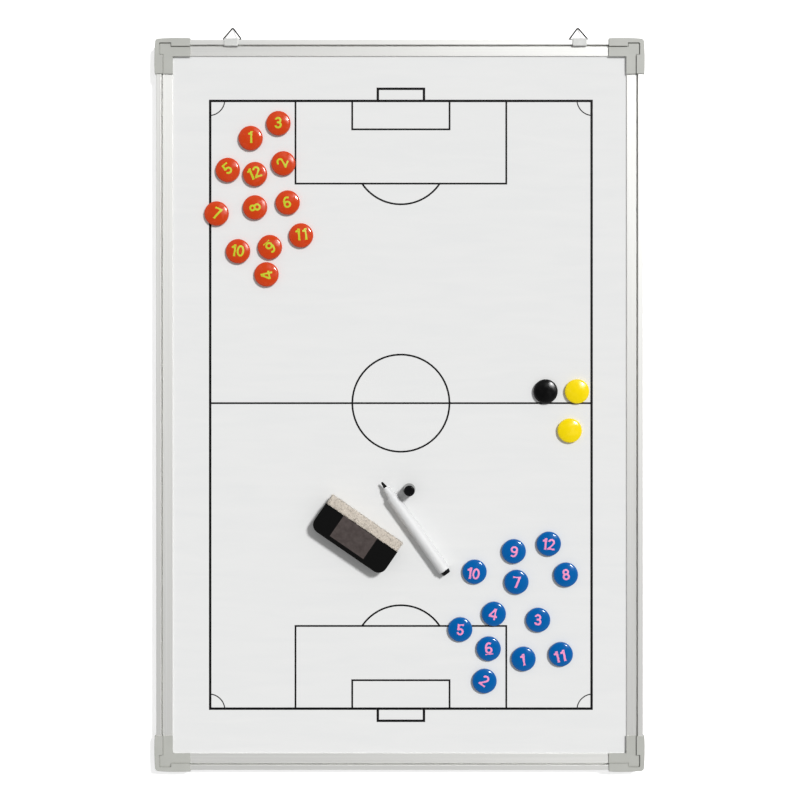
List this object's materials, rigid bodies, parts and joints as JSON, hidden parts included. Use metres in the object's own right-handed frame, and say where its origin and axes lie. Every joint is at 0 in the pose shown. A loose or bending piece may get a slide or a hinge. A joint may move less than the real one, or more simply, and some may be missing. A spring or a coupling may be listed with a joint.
{
  "type": "football tactics board",
  "caption": "Framed white magnetic tactics board with a printed football pitch, hanging loops, numbered button magnets, a marker pen and an eraser laid on it.",
  "frame": {"origin": "middle of the board in the plane of the corner pieces' rear faces, on which it lies", "axes": "+X to the right of the board, +Y to the edge with the hanging loops, +Z out of the writing face"},
  "size_m": [0.604, 0.9209, 0.0446],
  "materials": {
    "white_lacquered_steel": "smooth white lacquer on steel sheet",
    "black_ink": "printed black lines",
    "honeycomb_card": "brown card honeycomb between facings",
    "galvanised_steel": "galvanised back sheet with a faint spangle",
    "anodised_aluminium": "silver anodised, fine lines along the extrusion",
    "light_grey_plastic": "light warm grey, satin moulded",
    "zinc_plated_screw": "bright zinc plated",
    "clear_grey_plastic": "milky light grey, moulded",
    "spring_wire": "drawn spring steel",
    "red_plastic": "glossy orange red",
    "blue_plastic": "glossy blue",
    "yellow_plastic": "glossy yellow",
    "black_plastic": "glossy black",
    "white_pen_plastic": "smooth white",
    "black_pen_plastic": "smooth black",
    "inked_fibre": "felt fibre soaked in black ink",
    "black_moulded_plastic": "fine grained black",
    "dark_grey_plate": "satin dark grey",
    "cream_felt": "pressed wool felt"
  },
  "bodies": {
    "board": {"writing_sheet": "white_lacquered_steel", "core_board": "honeycomb_card", "back_sheet": "galvanised_steel", "pitch_print": "black_ink", "rail_top": "anodised_aluminium", "rail_bottom": "anodised_aluminium", "rail_left": "anodised_aluminium", "rail_right": "anodised_aluminium", "corner_top_left": "light_grey_plastic", "corner_top_right": "light_grey_plastic", "corner_bottom_left": "light_grey_plastic", "corner_bottom_right": "light_grey_plastic", "corner_screws": "zinc_plated_screw"},
    "clip_left": {"hanger_clip_left": "clear_grey_plastic"},
    "clip_right": {"hanger_clip_right": "clear_grey_plastic"},
    "loop_left": {"hanger_wire_left": "spring_wire"},
    "loop_right": {"hanger_wire_right": "spring_wire"},
    "red_magnet_01": {"red_magnet_01": "red_plastic"},
    "red_magnet_02": {"red_magnet_02": "red_plastic"},
    "red_magnet_03": {"red_magnet_03": "red_plastic"},
    "red_magnet_04": {"red_magnet_04": "red_plastic"},
    "red_magnet_05": {"red_magnet_05": "red_plastic"},
    "red_magnet_06": {"red_magnet_06": "red_plastic"},
    "red_magnet_07": {"red_magnet_07": "red_plastic"},
    "red_magnet_08": {"red_magnet_08": "red_plastic"},
    "red_magnet_09": {"red_magnet_09": "red_plastic"},
    "red_magnet_10": {"red_magnet_10": "red_plastic"},
    "red_magnet_11": {"red_magnet_11": "red_plastic"},
    "red_magnet_12": {"red_magnet_12": "red_plastic"},
    "blue_magnet_01": {"blue_magnet_01": "blue_plastic"},
    "blue_magnet_02": {"blue_magnet_02": "blue_plastic"},
    "blue_magnet_03": {"blue_magnet_03": "blue_plastic"},
    "blue_magnet_04": {"blue_magnet_04": "blue_plastic"},
    "blue_magnet_05": {"blue_magnet_05": "blue_plastic"},
    "blue_magnet_06": {"blue_magnet_06": "blue_plastic"},
    "blue_magnet_07": {"blue_magnet_07": "blue_plastic"},
    "blue_magnet_08": {"blue_magnet_08": "blue_plastic"},
    "blue_magnet_09": {"blue_magnet_09": "blue_plastic"},
    "blue_magnet_10": {"blue_magnet_10": "blue_plastic"},
    "blue_magnet_11": {"blue_magnet_11": "blue_plastic"},
    "blue_magnet_12": {"blue_magnet_12": "blue_plastic"},
    "yellow_magnet_1": {"yellow_magnet_1": "yellow_plastic"},
    "yellow_magnet_2": {"yellow_magnet_2": "yellow_plastic"},
    "black_magnet": {"black_magnet": "black_plastic"},
    "pen": {"pen_barrel": "white_pen_plastic", "pen_nose": "white_pen_plastic", "pen_nib": "inked_fibre", "pen_reservoir": "inked_fibre", "pen_end_plug": "black_pen_plastic"},
    "pen_cap": {"pen_cap": "black_pen_plastic"},
    "eraser": {"eraser_body": "black_moulded_plastic", "eraser_felt": "cream_felt", "eraser_label": "dark_grey_plate"}
  },
  "joints": [
    {"name": "clip_left_slide", "type": "slide", "parent": "board", "child": "clip_left", "axis": [1, 0, 0], "range_m": [-0.038, 0.2]},
    {"name": "loop_left_swing", "type": "hinge", "parent": "clip_left", "child": "loop_left", "pos_m": [-0.2076, 0.4526, 0.0076], "axis": [1, 0, 0], "range_deg": [0, 80]},
    {"name": "clip_right_slide", "type": "slide", "parent": "board", "child": "clip_right", "axis": [1, 0, 0], "range_m": [-0.2, 0.024]},
    {"name": "loop_right_swing", "type": "hinge", "parent": "clip_right", "child": "loop_right", "pos_m": [0.2218, 0.4526, 0.0076], "axis": [1, 0, 0], "range_deg": [0, 80]},
    {"name": "red_magnet_01_lift", "type": "slide", "parent": "board", "child": "red_magnet_01", "axis": [0, 0, 1], "range_m": [0, 0.05]},
    {"name": "red_magnet_02_lift", "type": "slide", "parent": "board", "child": "red_magnet_02", "axis": [0, 0, 1], "range_m": [0, 0.05]},
    {"name": "red_magnet_03_lift", "type": "slide", "parent": "board", "child": "red_magnet_03", "axis": [0, 0, 1], "range_m": [0, 0.05]},
    {"name": "red_magnet_04_lift", "type": "slide", "parent": "board", "child": "red_magnet_04", "axis": [0, 0, 1], "range_m": [0, 0.05]},
    {"name": "red_magnet_05_lift", "type": "slide", "parent": "board", "child": "red_magnet_05", "axis": [0, 0, 1], "range_m": [0, 0.05]},
    {"name": "red_magnet_06_lift", "type": "slide", "parent": "board", "child": "red_magnet_06", "axis": [0, 0, 1], "range_m": [0, 0.05]},
    {"name": "red_magnet_07_lift", "type": "slide", "parent": "board", "child": "red_magnet_07", "axis": [0, 0, 1], "range_m": [0, 0.05]},
    {"name": "red_magnet_08_lift", "type": "slide", "parent": "board", "child": "red_magnet_08", "axis": [0, 0, 1], "range_m": [0, 0.05]},
    {"name": "red_magnet_09_lift", "type": "slide", "parent": "board", "child": "red_magnet_09", "axis": [0, 0, 1], "range_m": [0, 0.05]},
    {"name": "red_magnet_10_lift", "type": "slide", "parent": "board", "child": "red_magnet_10", "axis": [0, 0, 1], "range_m": [0, 0.05]},
    {"name": "red_magnet_11_lift", "type": "slide", "parent": "board", "child": "red_magnet_11", "axis": [0, 0, 1], "range_m": [0, 0.05]},
    {"name": "red_magnet_12_lift", "type": "slide", "parent": "board", "child": "red_magnet_12", "axis": [0, 0, 1], "range_m": [0, 0.05]},
    {"name": "blue_magnet_01_lift", "type": "slide", "parent": "board", "child": "blue_magnet_01", "axis": [0, 0, 1], "range_m": [0, 0.05]},
    {"name": "blue_magnet_02_lift", "type": "slide", "parent": "board", "child": "blue_magnet_02", "axis": [0, 0, 1], "range_m": [0, 0.05]},
    {"name": "blue_magnet_03_lift", "type": "slide", "parent": "board", "child": "blue_magnet_03", "axis": [0, 0, 1], "range_m": [0, 0.05]},
    {"name": "blue_magnet_04_lift", "type": "slide", "parent": "board", "child": "blue_magnet_04", "axis": [0, 0, 1], "range_m": [0, 0.05]},
    {"name": "blue_magnet_05_lift", "type": "slide", "parent": "board", "child": "blue_magnet_05", "axis": [0, 0, 1], "range_m": [0, 0.05]},
    {"name": "blue_magnet_06_lift", "type": "slide", "parent": "board", "child": "blue_magnet_06", "axis": [0, 0, 1], "range_m": [0, 0.05]},
    {"name": "blue_magnet_07_lift", "type": "slide", "parent": "board", "child": "blue_magnet_07", "axis": [0, 0, 1], "range_m": [0, 0.05]},
    {"name": "blue_magnet_08_lift", "type": "slide", "parent": "board", "child": "blue_magnet_08", "axis": [0, 0, 1], "range_m": [0, 0.05]},
    {"name": "blue_magnet_09_lift", "type": "slide", "parent": "board", "child": "blue_magnet_09", "axis": [0, 0, 1], "range_m": [0, 0.05]},
    {"name": "blue_magnet_10_lift", "type": "slide", "parent": "board", "child": "blue_magnet_10", "axis": [0, 0, 1], "range_m": [0, 0.05]},
    {"name": "blue_magnet_11_lift", "type": "slide", "parent": "board", "child": "blue_magnet_11", "axis": [0, 0, 1], "range_m": [0, 0.05]},
    {"name": "blue_magnet_12_lift", "type": "slide", "parent": "board", "child": "blue_magnet_12", "axis": [0, 0, 1], "range_m": [0, 0.05]},
    {"name": "yellow_magnet_1_lift", "type": "slide", "parent": "board", "child": "yellow_magnet_1", "axis": [0, 0, 1], "range_m": [0, 0.05]},
    {"name": "yellow_magnet_2_lift", "type": "slide", "parent": "board", "child": "yellow_magnet_2", "axis": [0, 0, 1], "range_m": [0, 0.05]},
    {"name": "black_magnet_lift", "type": "slide", "parent": "board", "child": "black_magnet", "axis": [0, 0, 1], "range_m": [0, 0.05]},
    {"name": "pen_lift", "type": "slide", "parent": "board", "child": "pen", "axis": [0, 0, 1], "range_m": [0, 0.1]},
    {"name": "pen_cap_lift", "type": "slide", "parent": "board", "child": "pen_cap", "axis": [0, 0, 1], "range_m": [0, 0.1]},
    {"name": "eraser_lift", "type": "slide", "parent": "board", "child": "eraser", "axis": [0, 0, 1], "range_m": [0, 0.1]}
  ]
}
